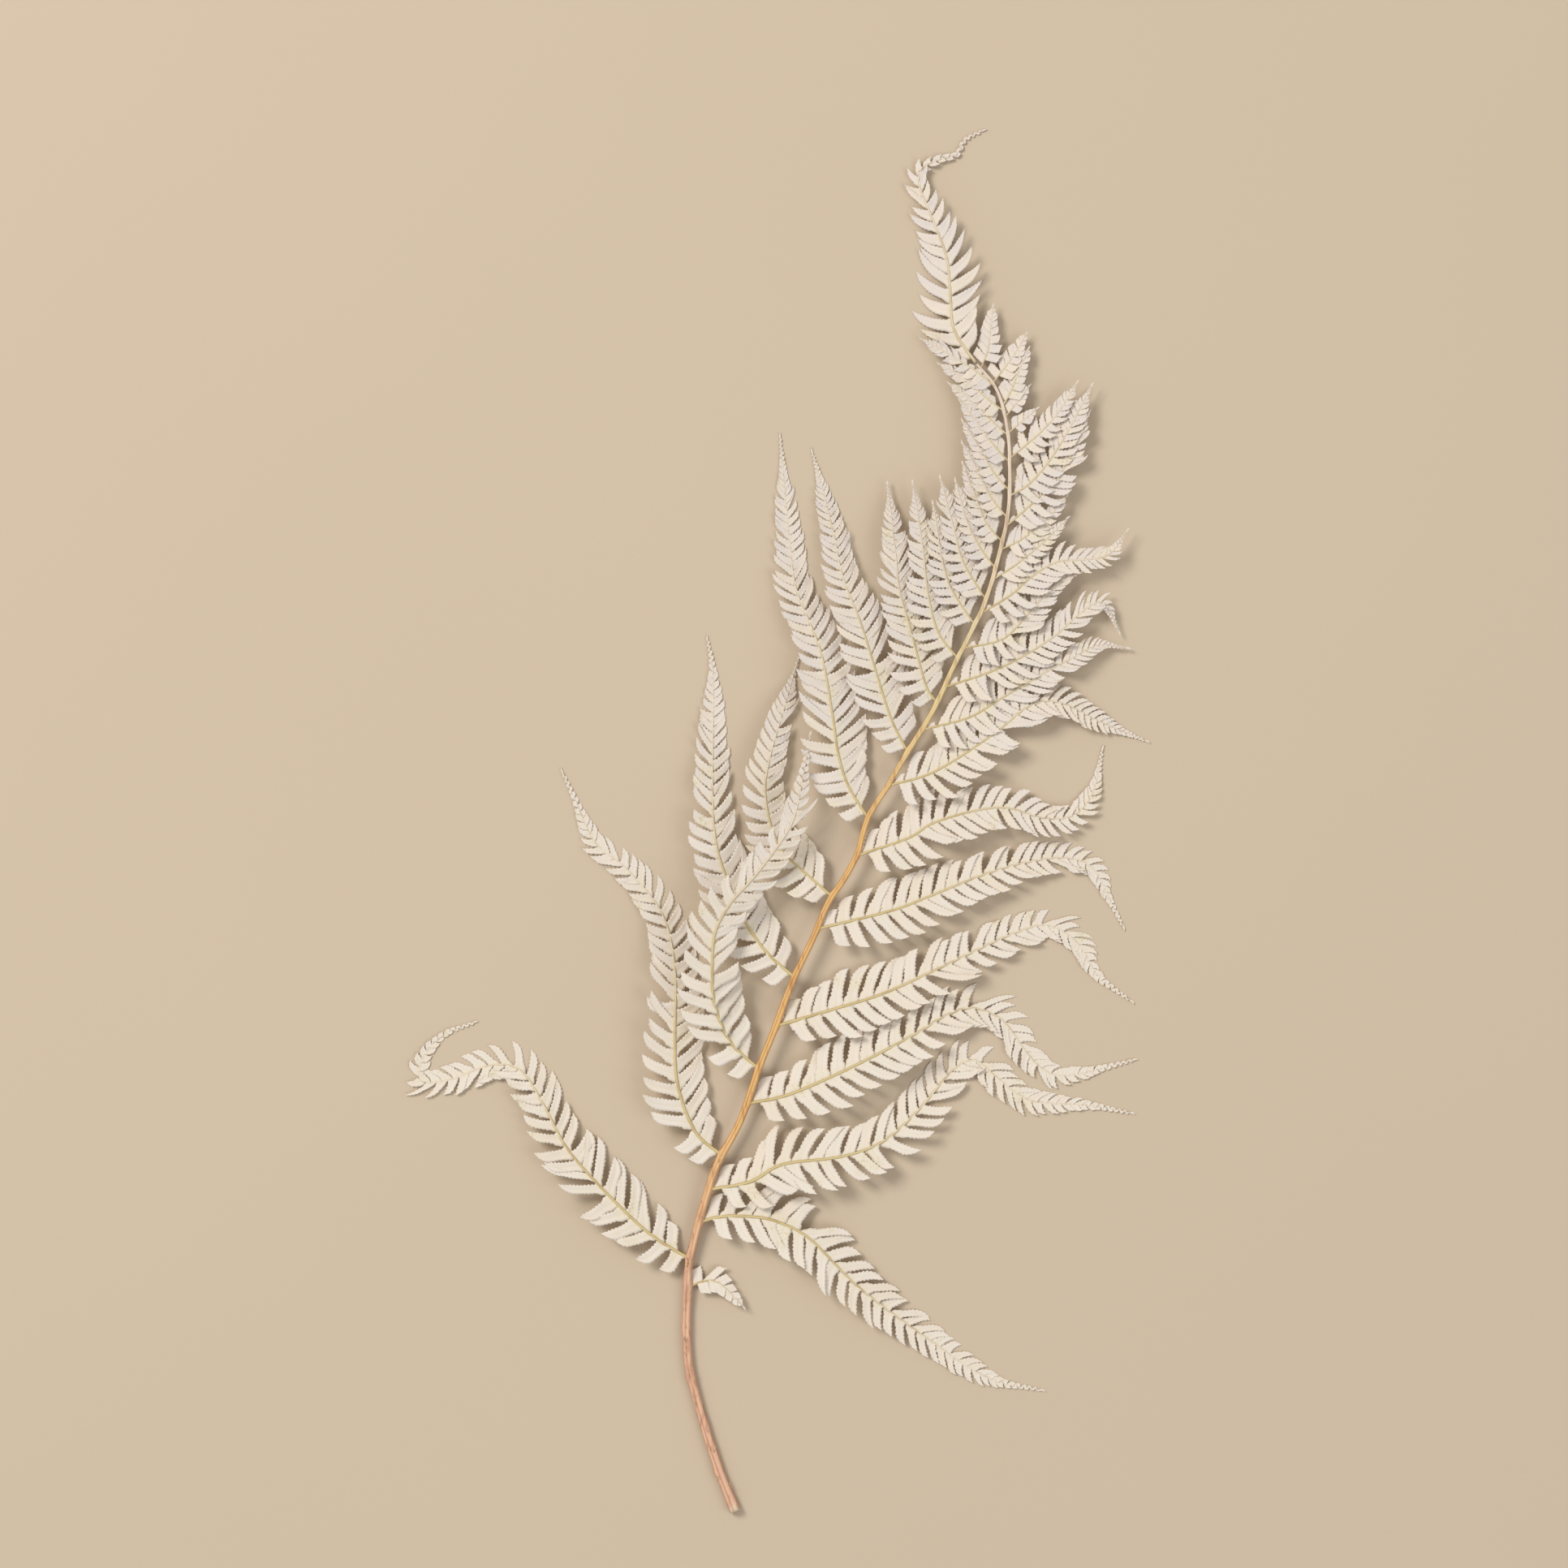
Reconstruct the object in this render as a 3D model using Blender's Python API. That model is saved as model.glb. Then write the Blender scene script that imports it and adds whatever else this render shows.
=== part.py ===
"""Dried fern frond lying flat: one stalk with its side branches, cut to leaflets, all grown as one piece.

Lengths are in metres, +Z is up and +Y points from the cut end of the stalk to the tip of the frond.
"""

import bisect
import math
import random

import bmesh
import bpy
from mathutils import Vector

MM = 0.001

# Where the cut end of the stalk lies, so that the frond is centred on the origin
CUT_END = Vector((-15.1 * MM, -276.4 * MM))

# The stalk: points of its middle line in mm from the cut end, its radius and its height over the surface
STALK_ROUTE = (
    (0, 0), (-6, 15), (-12, 33), (-16, 47), (-18.7, 59), (-19.5, 72), (-19.2, 85), (-18.7, 97),
    (-16.5, 108), (-13.3, 120), (-7.5, 138), (2, 156), (9.4, 177), (15, 191), (23, 212), (31, 229),
    (37, 243), (43.6, 253), (48.8, 263), (53, 277), (61, 290), (68, 302), (79, 320), (87.4, 338),
    (95, 353), (100, 364), (105, 381), (109, 400), (109.5, 422), (108, 436), (104, 449), (96, 459),
)
STALK_RADII = ((0, 2.1), (12, 1.95), (90, 1.75), (160, 1.45), (260, 1.2), (350, 0.95), (430, 0.7), (460, 0.5))
STALK_HEIGHTS = ((0, 0), (80, 0), (130, 3.2), (190, 6), (400, 6), (450, 3.5), (460, 3))
STALK_SIDES = 8
STALK_RING_STEP = 13 * MM

# The leafy tip of the frond carries on from the stalk's thin end and ends in a small curl. The leaflets of its
# lower half stand out further
TIP_ROUTE = (
    (96, 459), (87.5, 472), (86, 486), (84.5, 501), (79, 516), (73.6, 530), (74.5, 536.5), (81.5, 540.5),
    (88.5, 542.5), (92, 548.5), (98.8, 552),
)
TIP_WIDTH = 12.5 * MM
TIP_FULLNESS = 0.24
TIP_LIFT = 3.5 * MM

# Side branches: how far up from the cut end the root sits, how high the middle is held, and the route, in mm.
# A branch that lies over others is held higher.
LEFT_BRANCHES = (
    (100, 5, ((-34, 111), (-51, 127), (-67, 145), (-77, 163), (-86, 176), (-98, 178), (-115, 172),
              (-126, 172), (-125, 181), (-117, 190), (-105, 195))),
    (141, 6, ((-16, 152), (-23, 171), (-24, 190), (-24, 216), (-29, 238), (-43, 256), (-56, 267), (-64, 284),
              (-69, 295))),
    (177, 15, ((-2, 188), (-8, 203), (-9, 215), (-8, 231), (-2, 243), (7, 253), (17, 266), (23, 276),
               (26, 288), (30, 310))),
    (213, 6, ((13, 223), (5, 234), (-1, 247), (-7, 264), (-9, 283), (-9, 312), (-9, 335), (-11, 348))),
    (245, 6, ((27, 256), (19, 264), (14, 275), (12, 289), (14, 302), (18, 316), (25, 340))),
    (277, 7, ((45, 290), (41, 303), (39, 317), (35, 340), (31, 352), (24, 370), (21, 395), (18, 429))),
    (303, 7, ((62, 317), (55, 339), (50, 355), (43, 373), (39, 392), (35, 408), (31, 423))),
    (323, 7, ((76, 330), (70, 352), (65.5, 368), (64, 382), (61, 410))),
    (340, 7, ((81, 351), (77, 366), (75, 383), (71, 410))),
    (354, 7, ((87, 367), (83, 378), (79, 402))),
    (364, 7, ((91, 379), (87, 393), (82, 412))),
    (376, 6.5, ((97, 386), (92, 397), (88, 411))),
    (386, 6, ((100, 395), (96, 405), (91, 418))),
    (396, 6, ((102, 405), (97, 415), (91, 426))),
    (407, 6, ((103, 415), (98, 424), (91, 435))),
    (418, 6, ((103, 426), (97, 434), (90, 443))),
    (429, 5, ((102, 436), (95, 443), (86, 450))),
    (439, 4.5, ((100, 445), (92, 452), (82, 458))),
    (449, 4, ((97, 455), (86, 462), (75, 468))),
)
RIGHT_BRANCHES = (
    (89, 4, ((-12, 92), (-6, 91), (3, 82))),
    (115, 6, ((-5, 118), (7, 118), (17, 116), (30, 109), (49, 90), (75, 70), (101, 53), (122, 48))),
    (128, 7, ((6, 132), (19, 139), (42, 142), (59, 148), (74, 161), (87, 176), (96, 180), (105, 173),
              (118, 164), (141, 162), (158, 159))),
    (163, 7, ((22, 167), (47, 178), (72, 191), (84, 198), (95, 201), (107, 196), (116, 184), (124, 176),
              (134, 174), (159, 180))),
    (194, 6, ((40, 201), (59, 207), (79, 216), (96, 224), (112, 231), (125, 234), (137, 227), (145, 214),
              (158, 204))),
    (232, 6, ((62, 240), (78, 246), (98, 254), (115, 259), (132, 261), (143, 257), (149, 246), (155, 234))),
    (262, 6, ((69, 269), (79, 275), (96, 280), (109, 281), (123, 277), (135, 278), (143, 287), (147, 304))),
    (290, 7, ((76, 294), (89, 301), (105, 312), (118, 322), (130, 323), (147, 315), (164, 308))),
    (312, 6, ((93, 317), (105, 324), (120, 333), (133, 340), (145, 346), (156, 345))),
    (328, 6, ((101, 335), (114, 341), (128, 350), (138, 359), (147, 363), (153, 352))),
    (344, 6, ((106, 348), (114, 355), (121, 363), (129, 371), (138, 375))),
    (358, 7, ((110, 366), (118, 373), (128, 379), (139, 380), (149, 382), (156, 391))),
    (372, 7, ((112, 378), (123, 387), (132, 396))),
    (383, 6, ((114, 388), (124, 396), (132, 405))),
    (393, 6, ((118, 402), (128, 412), (134, 422), (141, 438))),
    (405, 6, ((117, 410), (125, 419), (132, 430), (142, 449))),
    (420, 6, ((115, 425), (122, 431), (129, 439), (136, 450))),
    (430, 5, ((113, 434), (120, 440))),
    (437, 5, ((111, 441), (117, 449))),
    (441, 4.5, ((110, 447), (113, 455), (117, 464))),
    (450, 4, ((107, 456), (112, 463), (116, 470))),
    (456, 4, ((101, 464), (102, 473), (103, 481))),
)

# Leaflets: a long branch carries the widest ones
BLADE_THICKNESS = 0.62 * MM
WIDEST_LEAFLETS = 15.8 * MM
BRANCH_LENGTH_FOR_WIDTH = 58 * MM
LEAFLET_PITCH = 11 * MM
SHORTEST_PITCH = 4 * MM
FIRST_LEAFLET = 3.2 * MM
SHORTEST_REACH = 1.5 * MM
STALK_CLEARANCE = 2.2 * MM
RIB_HALF_WIDTH = 0.65 * MM
LEAFLET_ANGLES = (62, 44)
SHAPE_RANDOM_SEED = 11

# How a blade is held: it tilts down towards the tip of the frond, arches a little across its rib and, where
# it is long, droops from there on
BLADE_ROLL = math.tan(math.radians(-13))
BLADE_ARCH = math.tan(math.radians(3))
USUAL_LIFT = 7 * MM
RISE_LENGTH = 22 * MM
DROOP_START = 55 * MM
DROOP_LENGTH = 62 * MM

FOLIAGE_COLOUR = (0.80, 0.77, 0.68, 1)


class Route:
    """A smooth curve in plan through points chosen by hand, with places measured along it."""

    def __init__(self, points):
        """Sample the curve finely and note the distance along it of every sample."""
        self.samples = sampled_curve(points)
        self.distances = [0]
        for before, after in zip(self.samples, self.samples[1:]):
            self.distances.append(self.distances[-1] + (after - before).length)
        self.length = self.distances[-1]

    def point(self, distance):
        """The point at a distance along the route."""
        distance = min(max(distance, 0), self.length)
        after = min(max(bisect.bisect_left(self.distances, distance), 1), len(self.samples) - 1)
        span = self.distances[after] - self.distances[after - 1]
        share = (distance - self.distances[after - 1]) / span
        return self.samples[after - 1].lerp(self.samples[after], share)

    def heading(self, distance, reach=2 * MM):
        """The direction of the route, evened out over a short reach on both sides."""
        return (self.point(distance + reach) - self.point(distance - reach)).normalized()

    def turn(self, distance, reach=7 * MM):
        """How sharply the route turns, in radians a metre, positive to the left."""
        before = self.heading(distance - reach)
        after = self.heading(distance + reach)
        angle = math.atan2(before.x * after.y - before.y * after.x, before.dot(after))
        return angle / (2 * reach)

    def side_of(self, spot):
        """How far a spot lies beside the route, positive on its left, and by the nearest sample."""
        distances_squared = [(sample - spot).length_squared for sample in self.samples]
        nearest = distances_squared.index(min(distances_squared))
        heading = self.heading(self.distances[nearest])
        away = spot - self.samples[nearest]
        return heading.x * away.y - heading.y * away.x

    def place_at_height(self, height):
        """The distance along the route of the first sample that lies so far up the frond."""
        for distance, sample in zip(self.distances, self.samples):
            if sample.y >= height:
                return distance
        return self.length


def sampled_curve(points, samples_a_span=12):
    """Samples of a smooth curve that passes through every point."""
    ends = [2 * points[0] - points[1]] + list(points) + [2 * points[-1] - points[-2]]
    samples = []
    for before, start, end, after in zip(ends, ends[1:], ends[2:], ends[3:]):
        for step in range(samples_a_span):
            samples.append(curve_point(before, start, end, after, step / samples_a_span))
    samples.append(points[-1].copy())
    return samples


def curve_point(before, start, end, after, share):
    """A point between start and end of a curve that also heeds the points on either side."""
    pull = (end - before) * 0.5
    push = (after - start) * 0.5
    square = share * share
    cube = square * share
    return (
        start * (2 * cube - 3 * square + 1)
        + pull * (cube - 2 * square + share)
        + end * (3 * square - 2 * cube)
        + push * (cube - square)
    )


def placed(points_mm):
    """Points in mm from the cut end as points in metres in the finished part."""
    return [CUT_END + Vector(point) * MM for point in points_mm]


def read_off(table_mm, height):
    """The value of a table of heights and values, all in mm, at a height up the frond in metres."""
    height_mm = (height - CUT_END.y) / MM
    for (low, low_value), (high, high_value) in zip(table_mm, table_mm[1:]):
        if height_mm <= high:
            share = (height_mm - low) / (high - low)
            return (low_value + (high_value - low_value) * share) * MM
    return table_mm[-1][1] * MM


def stalk_centre_height(height):
    """How high the stalk's middle line is over the surface. Its lower end lies on a flat side."""
    flat_side_depth = read_off(STALK_RADII, height) * math.cos(math.pi / STALK_SIDES)
    return flat_side_depth + read_off(STALK_HEIGHTS, height)


def eased(share):
    """A share from 0 to 1 that starts and ends softly."""
    share = min(max(share, 0), 1)
    return share * share * (3 - 2 * share)


def mesh_object(name, bm, material):
    """An object made of a mesh that is under construction."""
    bmesh.ops.recalc_face_normals(bm, faces=bm.faces)
    mesh = bpy.data.meshes.new(name)
    bm.to_mesh(mesh)
    bm.free()
    mesh.materials.append(material)
    return bpy.data.objects.new(name, mesh)


def make_stalk(route, material):
    """The round stalk, from its cut end to where the leafy tip takes over."""
    bm = bmesh.new()
    ring_count = round(route.length / STALK_RING_STEP)
    rings = [stalk_ring(bm, route, route.length * number / ring_count) for number in range(ring_count + 1)]
    for lower, upper in zip(rings, rings[1:]):
        for side in range(STALK_SIDES):
            beside = (side + 1) % STALK_SIDES
            bm.faces.new((lower[side], lower[beside], upper[beside], upper[side]))
    bm.faces.new(rings[0])
    bm.faces.new(rings[-1])
    bmesh.ops.triangulate(bm, faces=bm.faces)
    return mesh_object("fern_frond", bm, material)


def stalk_ring(bm, route, distance):
    """One ring of the stalk, with a flat side underneath."""
    centre = route.point(distance)
    heading = route.heading(distance)
    across = Vector((heading.y, -heading.x))
    radius = read_off(STALK_RADII, centre.y)
    ring = []
    for side in range(STALK_SIDES):
        angle = 2 * math.pi * (side + 0.5) / STALK_SIDES
        spot = centre + across * (radius * math.sin(angle))
        ring.append(bm.verts.new((spot.x, spot.y, stalk_centre_height(centre.y) - radius * math.cos(angle))))
    return ring


class Blade:
    """A thin blade along a route, cut to leaflets on both sides of its rib."""

    def __init__(self, route, stalk_route, width, lift, stalk_side, chance):
        """Take the routes, the longest leaflet's reach, the height it is held at and its side of the stalk."""
        self.route = route
        self.stalk_route = stalk_route
        self.width = width
        self.lift = lift
        self.root_height = stalk_centre_height(route.samples[0].y)
        self.stalk_side = stalk_side
        self.fullness = 0
        self.chance = chance
        self.points = []
        self.triangles = []

    def spot(self, distance, ahead, aside):
        """Add a point of the blade, ahead of and aside from a place on its rib, and return its number."""
        heading = self.route.heading(distance)
        left = Vector((-heading.y, heading.x))
        plan = self.route.point(distance) + heading * ahead + left * aside
        slope = BLADE_ROLL * self.stalk_side * math.copysign(1, aside) - BLADE_ARCH
        height = self.rib_height(distance) + slope * abs(aside)
        self.points.append(Vector((plan.x, plan.y, max(height, BLADE_THICKNESS / 2))))
        return len(self.points) - 1

    def rib_height(self, distance):
        """The rib climbs from the stalk to where it is held, and a long one comes down on the surface."""
        stretch = max(1, self.lift / USUAL_LIFT)
        held = self.root_height + (self.lift - self.root_height) * eased(distance / (RISE_LENGTH * stretch))
        return held + (BLADE_THICKNESS / 2 - held) * eased((distance - DROOP_START * stretch) / DROOP_LENGTH)

    def reach(self, distance, side):
        """How far the leaflets stand out at a place along the rib."""
        share = distance / self.route.length
        envelope = (0.62 + 0.38 * eased(share / 0.16)) * (1 - 0.9 * max(share - 0.16, 0) / 0.84) ** 0.85
        envelope *= 1 + self.fullness * eased(share / 0.16) * (1 - eased((share - 0.3) / 0.3))
        room = 5.5 * MM + 1.1 * distance
        inward = self.route.turn(distance) * side
        if inward > 0:
            room = min(room, 0.72 / inward)
        return min(self.width * envelope * self.chance.uniform(0.93, 1.05), room)

    def pitch(self, distance):
        """The distance to the next leaflet, shorter towards the tip."""
        share = distance / self.route.length
        usual = LEAFLET_PITCH * (0.45 + 0.55 * min(1, self.width / WIDEST_LEAFLETS))
        return max(usual * (1 - 0.62 * share * share), SHORTEST_PITCH)

    def cut_side(self, side, start):
        """Add one side's leaflets and return the numbers of the rib's edge points from root to tip."""
        rib = [self.spot(0, 0, side * RIB_HALF_WIDTH)]
        distance = start
        rib.append(self.spot(distance, 0, side * self.rib_half_width(distance)))
        while distance < self.route.length - 1.3 * self.pitch(distance):
            pitch = self.pitch(distance)
            after = self.spot(distance + pitch, 0, side * self.rib_half_width(distance + pitch))
            self.add_leaflet(rib[-1], after, distance + pitch / 2, pitch, side)
            rib.append(after)
            distance += pitch
        return rib

    def rib_half_width(self, distance):
        """The rib is widest at its root."""
        return RIB_HALF_WIDTH * (1 - 0.6 * distance / self.route.length)

    def add_leaflet(self, before, after, middle, pitch, side):
        """Add one leaflet between two points of the rib's edge, bent a little towards the blade's tip."""
        share = middle / self.route.length
        angle = math.radians(LEAFLET_ANGLES[0] + (LEAFLET_ANGLES[1] - LEAFLET_ANGLES[0]) * share)
        aside = self.clear_of_stalk(middle, self.reach(middle, side), side, angle)
        ahead = aside / math.tan(angle)
        lower = self.spot(middle, 0.88 * ahead - 0.36 * pitch, side * 0.9 * aside)
        upper = self.spot(middle, ahead + 0.16 * pitch, side * aside)
        self.triangles.append((before, lower, upper))
        self.triangles.append((before, upper, after))

    def clear_of_stalk(self, distance, reach, side, angle):
        """Shorten a leaflet's reach until its tip stops beside the stalk."""
        heading = self.route.heading(distance)
        left = Vector((-heading.y, heading.x))
        start = self.route.point(distance)
        while self.stalk_route and reach > SHORTEST_REACH:
            tip = start + left * (side * reach) + heading * (reach / math.tan(angle))
            if self.stalk_route.side_of(tip) * self.stalk_side < -STALK_CLEARANCE:
                break
            reach *= 0.85
        return reach

    def cut(self):
        """Add the leaflets of both sides, set in turn, and the rib between them."""
        left = self.cut_side(1, FIRST_LEAFLET)
        right = self.cut_side(-1, FIRST_LEAFLET + self.pitch(0) / 2)
        tip = self.spot(self.route.length, 0, 0)
        left_at = 0
        right_at = 0
        while left_at < len(left) - 1 or right_at < len(right) - 1:
            left_first = right_at == len(right) - 1 or (left_at < len(left) - 1 and left_at <= right_at)
            if left_first:
                self.triangles.append((left[left_at], left[left_at + 1], right[right_at]))
                left_at += 1
            else:
                self.triangles.append((left[left_at], right[right_at + 1], right[right_at]))
                right_at += 1
        self.triangles.append((left[-1], tip, right[-1]))

    def solid(self, name, material):
        """The closed solid of the blade, with both faces split into triangles alike."""
        bm = bmesh.new()
        lift = Vector((0, 0, BLADE_THICKNESS / 2))
        top = [bm.verts.new(point + lift) for point in self.points]
        bottom = [bm.verts.new(point - lift) for point in self.points]
        for a, b, c in self.triangles:
            bm.faces.new((top[a], top[b], top[c]))
            bm.faces.new((bottom[c], bottom[b], bottom[a]))
        for a, b in self.outline():
            bm.faces.new((top[a], top[b], bottom[b]))
            bm.faces.new((top[a], bottom[b], bottom[a]))
        return mesh_object(name, bm, material)

    def outline(self):
        """The edges that belong to one triangle only, each as two point numbers."""
        uses = {}
        for a, b, c in self.triangles:
            for edge in ((a, b), (b, c), (c, a)):
                uses.setdefault(tuple(sorted(edge)), []).append(edge)
        return [edges[0] for edges in uses.values() if len(edges) == 1]


def branch_blade(stalk_route, row, stalk_side, chance):
    """The blade of one side branch on the left, -1, or the right, 1, whose root is sunk in the stalk."""
    root_mm, lift_mm, points_mm = row
    root = stalk_route.point(stalk_route.place_at_height(CUT_END.y + root_mm * MM))
    route = Route([root] + placed(points_mm))
    width = WIDEST_LEAFLETS * (1 - math.exp(-(route.length + 5 * MM) / BRANCH_LENGTH_FOR_WIDTH))
    return Blade(route, stalk_route, width, lift_mm * MM, stalk_side, chance)


def all_blades(stalk_route, chance):
    """Every blade of the frond: the side branches on the left and the right, and the leafy tip."""
    blades = [branch_blade(stalk_route, row, -1, chance) for row in LEFT_BRANCHES]
    blades += [branch_blade(stalk_route, row, 1, chance) for row in RIGHT_BRANCHES]
    tip = Blade(Route(placed(TIP_ROUTE)), None, TIP_WIDTH, TIP_LIFT, 1, chance)
    tip.fullness = TIP_FULLNESS
    blades.append(tip)
    return blades


def grow_together(stalk, blades, material):
    """Join the stalk and all blades in one closed solid."""
    loose = bpy.data.collections.new("blades")
    for number, blade in enumerate(blades):
        blade.cut()
        loose.objects.link(blade.solid(f"blade_{number:02d}", material))
    joint = stalk.modifiers.new("grown_together", "BOOLEAN")
    joint.operation = "UNION"
    joint.operand_type = "COLLECTION"
    joint.collection = loose
    joint.solver = "MANIFOLD"
    apply_modifiers(stalk)
    for made in list(loose.objects):
        bpy.data.objects.remove(made)
    bpy.data.collections.remove(loose)


def apply_modifiers(target):
    """Replace the object's mesh by the one that its modifiers make."""
    bpy.context.view_layer.update()
    depsgraph = bpy.context.evaluated_depsgraph_get()
    mesh = bpy.data.meshes.new_from_object(target.evaluated_get(depsgraph))
    target.modifiers.clear()
    target.data = mesh


def centre_over_floor(target):
    """Shift the mesh so that its box is centred on the origin and stands on the floor."""
    lows = [min(vertex.co[axis] for vertex in target.data.vertices) for axis in range(3)]
    highs = [max(vertex.co[axis] for vertex in target.data.vertices) for axis in range(3)]
    shift = Vector((-(lows[0] + highs[0]) / 2, -(lows[1] + highs[1]) / 2, -lows[2]))
    for vertex in target.data.vertices:
        vertex.co += shift


def foliage_material():
    """The bleached, dry surface of the frond."""
    material = bpy.data.materials.new("foliage")
    material.use_nodes = True
    shader = material.node_tree.nodes["Principled BSDF"]
    shader.inputs["Base Color"].default_value = FOLIAGE_COLOUR
    shader.inputs["Roughness"].default_value = 0.85
    material.diffuse_color = FOLIAGE_COLOUR
    return material


def main():
    """Build the frond."""
    for leftover in list(bpy.data.objects):
        bpy.data.objects.remove(leftover)
    material = foliage_material()
    stalk_route = Route(placed(STALK_ROUTE))
    stalk = make_stalk(stalk_route, material)
    bpy.context.scene.collection.objects.link(stalk)
    grow_together(stalk, all_blades(stalk_route, random.Random(SHAPE_RANDOM_SEED)), material)
    centre_over_floor(stalk)


main()
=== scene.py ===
"""The looks of a dried, bleached fern frond that lies flat, seen from straight above.

Lengths are in metres, +Z is up and +Y points from the cut end of the stalk to the tip of the frond.
"""

import bisect
import math
import random

import bpy
import numpy as np
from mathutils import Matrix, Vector


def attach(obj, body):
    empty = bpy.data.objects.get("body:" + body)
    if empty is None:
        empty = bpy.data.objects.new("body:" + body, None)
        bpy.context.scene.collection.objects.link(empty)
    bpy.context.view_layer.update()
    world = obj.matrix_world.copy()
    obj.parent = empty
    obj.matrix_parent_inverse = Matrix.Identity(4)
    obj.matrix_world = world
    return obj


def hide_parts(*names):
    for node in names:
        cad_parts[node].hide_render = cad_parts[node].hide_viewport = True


bl_info = {
    "name": "Dried fern frond",
    "version": (1, 0, 0),
    "blender": (4, 5, 0),
    "location": "3D View > Sidebar > Frond",
    "description": "Dresses the solid of a fern frond with leaflets, ribs, stalk and finish",
    "category": "Object",
}

MM = 0.001
FROND_NODE = "fern_frond"
BODY = "root"

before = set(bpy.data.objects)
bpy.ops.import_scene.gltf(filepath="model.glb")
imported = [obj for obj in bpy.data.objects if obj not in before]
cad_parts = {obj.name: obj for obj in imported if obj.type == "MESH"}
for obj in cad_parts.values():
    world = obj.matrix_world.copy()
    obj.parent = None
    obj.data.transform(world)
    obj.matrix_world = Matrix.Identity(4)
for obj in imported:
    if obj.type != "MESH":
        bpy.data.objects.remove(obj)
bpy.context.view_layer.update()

# Where the cut end of the stalk lies
CUT_END = Vector((-15.1 * MM, -276.4 * MM))

# The stalk: points of its middle line in mm from the cut end, its radius and its height over the surface
STALK_ROUTE = (
    (0, 0), (-6, 15), (-12, 33), (-16, 47), (-18.7, 59), (-19.5, 72), (-19.2, 85), (-18.7, 97),
    (-16.5, 108), (-13.3, 120), (-7.5, 138), (2, 156), (9.4, 177), (15, 191), (23, 212), (31, 229),
    (37, 243), (43.6, 253), (48.8, 263), (53, 277), (61, 290), (68, 302), (79, 320), (87.4, 338),
    (95, 353), (100, 364), (105, 381), (109, 400), (109.5, 422), (108, 436), (104, 449), (96, 459),
)
STALK_RADII = ((0, 2.1), (12, 1.95), (90, 1.75), (160, 1.45), (260, 1.2), (350, 0.95), (430, 0.7), (460, 0.5))
STALK_HEIGHTS = ((0, 0), (80, 0), (130, 3.2), (190, 6), (400, 6), (450, 3.5), (460, 3))

# The leafy tip of the frond carries on from the stalk's thin end and ends in a small curl. The leaflets of
# its lower half stand out further
TIP_ROUTE = (
    (96, 459), (87.5, 472), (86, 486), (84.5, 501), (79, 516), (73.6, 530), (74.5, 536.5), (81.5, 540.5),
    (88.5, 542.5), (92, 548.5), (98.8, 552),
)
TIP_WIDTH = 12.5 * MM
TIP_FULLNESS = 0.24
TIP_LIFT = 3.5 * MM

# Side branches: how far up from the cut end the root sits, how high the middle is held, and the route, in mm.
# A branch that lies over others is held higher
LEFT_BRANCHES = (
    (100, 5, ((-34, 111), (-51, 127), (-67, 145), (-77, 163), (-86, 176), (-98, 178), (-115, 172),
        (-126, 172), (-125, 181), (-117, 190), (-105, 195))),
    (141, 6, ((-16, 152), (-23, 171), (-24, 190), (-24, 216), (-29, 238), (-43, 256), (-56, 267), (-64, 284),
        (-69, 295))),
    (177, 15, ((-2, 188), (-8, 203), (-9, 215), (-8, 231), (-2, 243), (7, 253), (17, 266), (23, 276),
        (26, 288), (30, 310))),
    (213, 6, ((13, 223), (5, 234), (-1, 247), (-7, 264), (-9, 283), (-9, 312), (-9, 335), (-11, 348))),
    (245, 6, ((27, 256), (19, 264), (14, 275), (12, 289), (14, 302), (18, 316), (25, 340))),
    (277, 7, ((45, 290), (41, 303), (39, 317), (35, 340), (31, 352), (24, 370), (21, 395), (18, 429))),
    (303, 7, ((62, 317), (55, 339), (50, 355), (43, 373), (39, 392), (35, 408), (31, 423))),
    (323, 7, ((76, 330), (70, 352), (65.5, 368), (64, 382), (61, 410))),
    (340, 7, ((81, 351), (77, 366), (75, 383), (71, 410))),
    (354, 7, ((87, 367), (83, 378), (79, 402))),
    (364, 7, ((91, 379), (87, 393), (82, 412))),
    (376, 6.5, ((97, 386), (92, 397), (88, 411))),
    (386, 6, ((100, 395), (96, 405), (91, 418))),
    (396, 6, ((102, 405), (97, 415), (91, 426))),
    (407, 6, ((103, 415), (98, 424), (91, 435))),
    (418, 6, ((103, 426), (97, 434), (90, 443))),
    (429, 5, ((102, 436), (95, 443), (86, 450))),
    (439, 4.5, ((100, 445), (92, 452), (82, 458))),
    (449, 4, ((97, 455), (86, 462), (75, 468))),
)
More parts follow.
